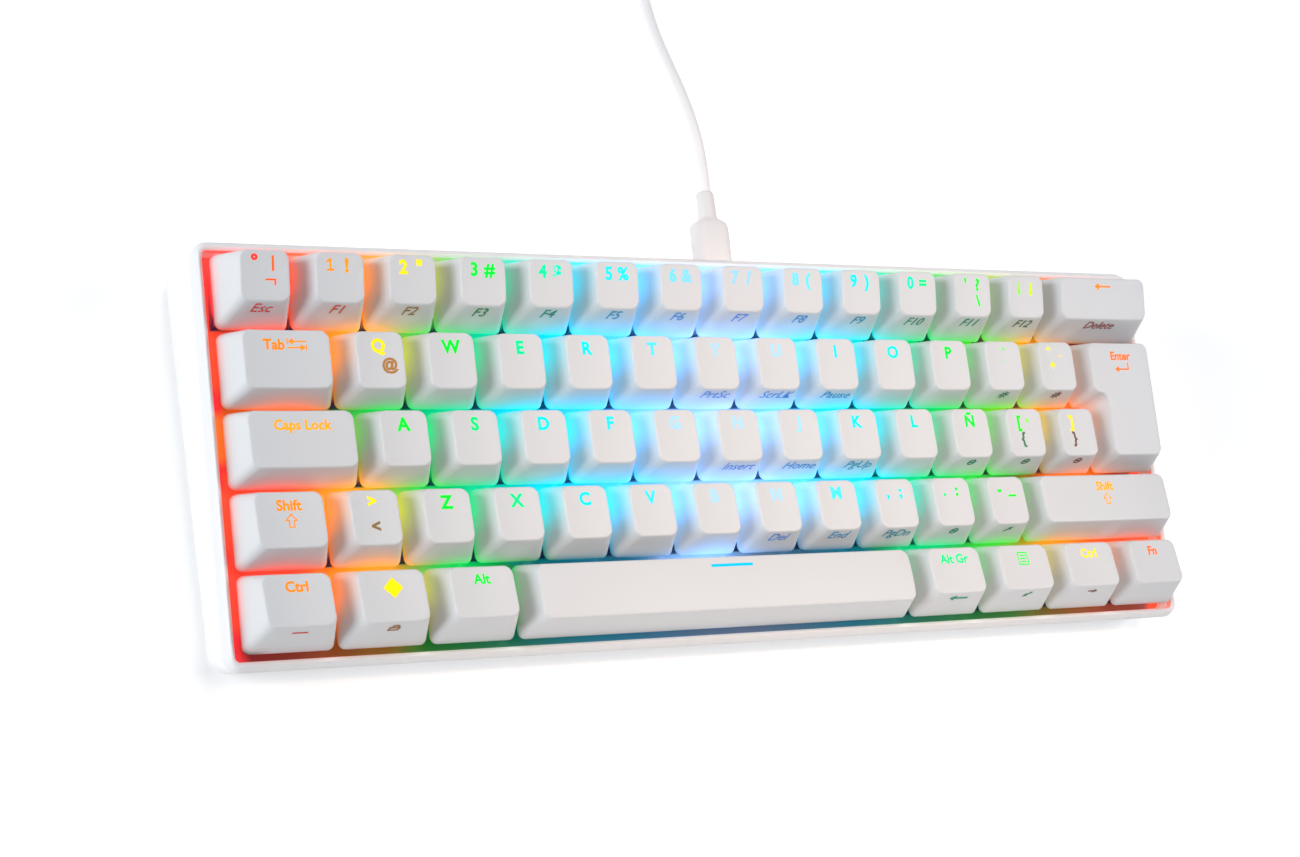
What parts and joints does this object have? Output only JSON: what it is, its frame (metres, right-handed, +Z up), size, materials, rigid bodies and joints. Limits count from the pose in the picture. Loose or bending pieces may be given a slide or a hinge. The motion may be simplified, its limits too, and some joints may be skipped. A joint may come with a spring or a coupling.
{
  "type": "compact mechanical keyboard",
  "caption": "Compact wedge-shaped mechanical keyboard with sculpted keys, stabilised wide keys and a detachable lead wound in a coil.",
  "frame": {"origin": "on the desk, under the middle of the case; the lead and what is on it aren't counted", "axes": "+X to the typist's right, +Y away from the typist, +Z up; the key plane is tilted 6 degrees about X, back edge high"},
  "size_m": [0.292, 0.2728, 0.0384],
  "materials": {
    "case": "satin injection-moulded ABS",
    "feet": "matt silicone rubber",
    "plate": "white powder coat on steel sheet",
    "steel": "zinc- or nickel-plated",
    "board": "glass-fibre board with green solder mask",
    "components": "moulded packages",
    "housing": "translucent nylon and polycarbonate",
    "contacts": "plated leaf contacts",
    "spring": "bright spring steel wire",
    "guide": "moulded acetal",
    "keycap": "fine matt ABS on the caps; the stems inside are the same slot",
    "cord": "matt white PVC jacket and overmouldings",
    "tie": "woven hook-and-loop strap"
  },
  "bodies": {
    "base": {"case_bottom": "case", "case_frame": "case", "rubber_feet": "feet", "switch_plate": "plate", "plate_screws": "steel", "circuit_board": "board", "board_components": "components", "usb_port": "steel", "switch_housings_lower": "housing", "switch_housings_upper": "housing", "switch_contacts": "contacts", "switch_springs": "spring", "stabiliser_guides": "guide", "cable_plug": "cord", "cable_plug_shell": "steel", "cable_lead": "cord", "cable_coil": "cord", "cable_tie": "tie", "usb_a_plug": "cord", "usb_a_plug_shell": "steel"},
    "key_escape_body": {"key_escape": "keycap"},
    "key_backspace_body": {"key_backspace": "keycap"},
    "key_tab_body": {"key_tab": "keycap"},
    "key_q_body": {"key_q": "keycap"},
    "key_w_body": {"key_w": "keycap"},
    "key_e_body": {"key_e": "keycap"},
    "key_r_body": {"key_r": "keycap"},
    "key_t_body": {"key_t": "keycap"},
    "key_y_body": {"key_y": "keycap"},
    "key_u_body": {"key_u": "keycap"},
    "key_i_body": {"key_i": "keycap"},
    "key_o_body": {"key_o": "keycap"},
    "key_p_body": {"key_p": "keycap"},
    "key_enter_body": {"key_enter": "keycap"},
    "key_caps_lock_body": {"key_caps_lock": "keycap"},
    "key_a_body": {"key_a": "keycap"},
    "key_s_body": {"key_s": "keycap"},
    "key_d_body": {"key_d": "keycap"},
    "key_f_body": {"key_f": "keycap"},
    "key_g_body": {"key_g": "keycap"},
    "key_h_body": {"key_h": "keycap"},
    "key_j_body": {"key_j": "keycap"},
    "key_k_body": {"key_k": "keycap"},
    "key_l_body": {"key_l": "keycap"},
    "key_left_shift_body": {"key_left_shift": "keycap"},
    "key_z_body": {"key_z": "keycap"},
    "key_x_body": {"key_x": "keycap"},
    "key_c_body": {"key_c": "keycap"},
    "key_v_body": {"key_v": "keycap"},
    "key_b_body": {"key_b": "keycap"},
    "key_n_body": {"key_n": "keycap"},
    "key_m_body": {"key_m": "keycap"},
    "key_right_shift_body": {"key_right_shift": "keycap"},
    "key_space_body": {"key_space": "keycap"},
    "digit_keys_body": {"digit_keys": "keycap"},
    "other_keys_body": {"other_keys": "keycap"},
    "wire_backspace": {"stabiliser_wire_backspace": "spring"},
    "wire_enter": {"stabiliser_wire_enter": "spring"},
    "wire_right_shift": {"stabiliser_wire_right_shift": "spring"},
    "wire_space": {"stabiliser_wire_space": "spring"}
  },
  "joints": [
    {"name": "key_escape_press", "type": "slide", "parent": "base", "child": "key_escape_body", "axis": [0, 0.1045, -0.9945], "range_m": [0, 0.004], "stiffness_N_per_m": 75, "springref_m": -0.004, "deforming": ["switch_springs"]},
    {"name": "key_backspace_press", "type": "slide", "parent": "base", "child": "key_backspace_body", "axis": [0, 0.1045, -0.9945], "range_m": [0, 0.004], "stiffness_N_per_m": 75, "springref_m": -0.004},
    {"name": "key_tab_press", "type": "slide", "parent": "base", "child": "key_tab_body", "axis": [0, 0.1045, -0.9945], "range_m": [0, 0.004], "stiffness_N_per_m": 75, "springref_m": -0.004},
    {"name": "key_q_press", "type": "slide", "parent": "base", "child": "key_q_body", "axis": [0, 0.1045, -0.9945], "range_m": [0, 0.004], "stiffness_N_per_m": 75, "springref_m": -0.004},
    {"name": "key_w_press", "type": "slide", "parent": "base", "child": "key_w_body", "axis": [0, 0.1045, -0.9945], "range_m": [0, 0.004], "stiffness_N_per_m": 75, "springref_m": -0.004},
    {"name": "key_e_press", "type": "slide", "parent": "base", "child": "key_e_body", "axis": [0, 0.1045, -0.9945], "range_m": [0, 0.004], "stiffness_N_per_m": 75, "springref_m": -0.004},
    {"name": "key_r_press", "type": "slide", "parent": "base", "child": "key_r_body", "axis": [0, 0.1045, -0.9945], "range_m": [0, 0.004], "stiffness_N_per_m": 75, "springref_m": -0.004},
    {"name": "key_t_press", "type": "slide", "parent": "base", "child": "key_t_body", "axis": [0, 0.1045, -0.9945], "range_m": [0, 0.004], "stiffness_N_per_m": 75, "springref_m": -0.004},
    {"name": "key_y_press", "type": "slide", "parent": "base", "child": "key_y_body", "axis": [0, 0.1045, -0.9945], "range_m": [0, 0.004], "stiffness_N_per_m": 75, "springref_m": -0.004},
    {"name": "key_u_press", "type": "slide", "parent": "base", "child": "key_u_body", "axis": [0, 0.1045, -0.9945], "range_m": [0, 0.004], "stiffness_N_per_m": 75, "springref_m": -0.004},
    {"name": "key_i_press", "type": "slide", "parent": "base", "child": "key_i_body", "axis": [0, 0.1045, -0.9945], "range_m": [0, 0.004], "stiffness_N_per_m": 75, "springref_m": -0.004},
    {"name": "key_o_press", "type": "slide", "parent": "base", "child": "key_o_body", "axis": [0, 0.1045, -0.9945], "range_m": [0, 0.004], "stiffness_N_per_m": 75, "springref_m": -0.004},
    {"name": "key_p_press", "type": "slide", "parent": "base", "child": "key_p_body", "axis": [0, 0.1045, -0.9945], "range_m": [0, 0.004], "stiffness_N_per_m": 75, "springref_m": -0.004},
    {"name": "key_enter_press", "type": "slide", "parent": "base", "child": "key_enter_body", "axis": [0, 0.1045, -0.9945], "range_m": [0, 0.004], "stiffness_N_per_m": 75, "springref_m": -0.004},
    {"name": "key_caps_lock_press", "type": "slide", "parent": "base", "child": "key_caps_lock_body", "axis": [0, 0.1045, -0.9945], "range_m": [0, 0.004], "stiffness_N_per_m": 75, "springref_m": -0.004},
    {"name": "key_a_press", "type": "slide", "parent": "base", "child": "key_a_body", "axis": [0, 0.1045, -0.9945], "range_m": [0, 0.004], "stiffness_N_per_m": 75, "springref_m": -0.004},
    {"name": "key_s_press", "type": "slide", "parent": "base", "child": "key_s_body", "axis": [0, 0.1045, -0.9945], "range_m": [0, 0.004], "stiffness_N_per_m": 75, "springref_m": -0.004},
    {"name": "key_d_press", "type": "slide", "parent": "base", "child": "key_d_body", "axis": [0, 0.1045, -0.9945], "range_m": [0, 0.004], "stiffness_N_per_m": 75, "springref_m": -0.004},
    {"name": "key_f_press", "type": "slide", "parent": "base", "child": "key_f_body", "axis": [0, 0.1045, -0.9945], "range_m": [0, 0.004], "stiffness_N_per_m": 75, "springref_m": -0.004},
    {"name": "key_g_press", "type": "slide", "parent": "base", "child": "key_g_body", "axis": [0, 0.1045, -0.9945], "range_m": [0, 0.004], "stiffness_N_per_m": 75, "springref_m": -0.004},
    {"name": "key_h_press", "type": "slide", "parent": "base", "child": "key_h_body", "axis": [0, 0.1045, -0.9945], "range_m": [0, 0.004], "stiffness_N_per_m": 75, "springref_m": -0.004},
    {"name": "key_j_press", "type": "slide", "parent": "base", "child": "key_j_body", "axis": [0, 0.1045, -0.9945], "range_m": [0, 0.004], "stiffness_N_per_m": 75, "springref_m": -0.004},
    {"name": "key_k_press", "type": "slide", "parent": "base", "child": "key_k_body", "axis": [0, 0.1045, -0.9945], "range_m": [0, 0.004], "stiffness_N_per_m": 75, "springref_m": -0.004},
    {"name": "key_l_press", "type": "slide", "parent": "base", "child": "key_l_body", "axis": [0, 0.1045, -0.9945], "range_m": [0, 0.004], "stiffness_N_per_m": 75, "springref_m": -0.004},
    {"name": "key_left_shift_press", "type": "slide", "parent": "base", "child": "key_left_shift_body", "axis": [0, 0.1045, -0.9945], "range_m": [0, 0.004], "stiffness_N_per_m": 75, "springref_m": -0.004},
    {"name": "key_z_press", "type": "slide", "parent": "base", "child": "key_z_body", "axis": [0, 0.1045, -0.9945], "range_m": [0, 0.004], "stiffness_N_per_m": 75, "springref_m": -0.004},
    {"name": "key_x_press", "type": "slide", "parent": "base", "child": "key_x_body", "axis": [0, 0.1045, -0.9945], "range_m": [0, 0.004], "stiffness_N_per_m": 75, "springref_m": -0.004},
    {"name": "key_c_press", "type": "slide", "parent": "base", "child": "key_c_body", "axis": [0, 0.1045, -0.9945], "range_m": [0, 0.004], "stiffness_N_per_m": 75, "springref_m": -0.004},
    {"name": "key_v_press", "type": "slide", "parent": "base", "child": "key_v_body", "axis": [0, 0.1045, -0.9945], "range_m": [0, 0.004], "stiffness_N_per_m": 75, "springref_m": -0.004},
    {"name": "key_b_press", "type": "slide", "parent": "base", "child": "key_b_body", "axis": [0, 0.1045, -0.9945], "range_m": [0, 0.004], "stiffness_N_per_m": 75, "springref_m": -0.004},
    {"name": "key_n_press", "type": "slide", "parent": "base", "child": "key_n_body", "axis": [0, 0.1045, -0.9945], "range_m": [0, 0.004], "stiffness_N_per_m": 75, "springref_m": -0.004},
    {"name": "key_m_press", "type": "slide", "parent": "base", "child": "key_m_body", "axis": [0, 0.1045, -0.9945], "range_m": [0, 0.004], "stiffness_N_per_m": 75, "springref_m": -0.004},
    {"name": "key_right_shift_press", "type": "slide", "parent": "base", "child": "key_right_shift_body", "axis": [0, 0.1045, -0.9945], "range_m": [0, 0.004], "stiffness_N_per_m": 75, "springref_m": -0.004},
    {"name": "key_space_press", "type": "slide", "parent": "base", "child": "key_space_body", "axis": [0, 0.1045, -0.9945], "range_m": [0, 0.004], "stiffness_N_per_m": 75, "springref_m": -0.004},
    {"name": "digit_keys_press", "type": "slide", "parent": "base", "child": "digit_keys_body", "axis": [0, 0.1045, -0.9945], "range_m": [0, 0.004], "stiffness_N_per_m": 900, "springref_m": -0.004},
    {"name": "other_keys_press", "type": "slide", "parent": "base", "child": "other_keys_body", "axis": [0, 0.1045, -0.9945], "range_m": [0, 0.004], "stiffness_N_per_m": 1200, "springref_m": -0.004},
    {"name": "wire_backspace_swing", "type": "hinge", "parent": "base", "child": "wire_backspace", "pos_m": [0.12383, 0.04685, 0.02183], "axis": [1, 0, 0], "range_deg": [0, 26.32]},
    {"name": "wire_enter_swing", "type": "hinge", "parent": "base", "child": "wire_enter", "pos_m": [0.13977, 0.00968, 0.01792], "axis": [0, -0.9945, -0.1045], "range_deg": [0, 26.32]},
    {"name": "wire_right_shift_swing", "type": "hinge", "parent": "base", "child": "wire_right_shift", "pos_m": [0.11668, -0.00999, 0.01586], "axis": [1, 0, 0], "range_deg": [0, 26.32]},
    {"name": "wire_space_swing", "type": "hinge", "parent": "base", "child": "wire_space", "pos_m": [-0.01191, -0.02894, 0.01387], "axis": [1, 0, 0], "range_deg": [0, 26.32]}
  ],
  "couplings": [
    {"joint": "wire_backspace_swing", "follows": "key_backspace_press", "rad_per_m": 114.64},
    {"joint": "wire_enter_swing", "follows": "key_enter_press", "rad_per_m": 114.64},
    {"joint": "wire_right_shift_swing", "follows": "key_right_shift_press", "rad_per_m": 114.64},
    {"joint": "wire_space_swing", "follows": "key_space_press", "rad_per_m": 114.64}
  ]
}
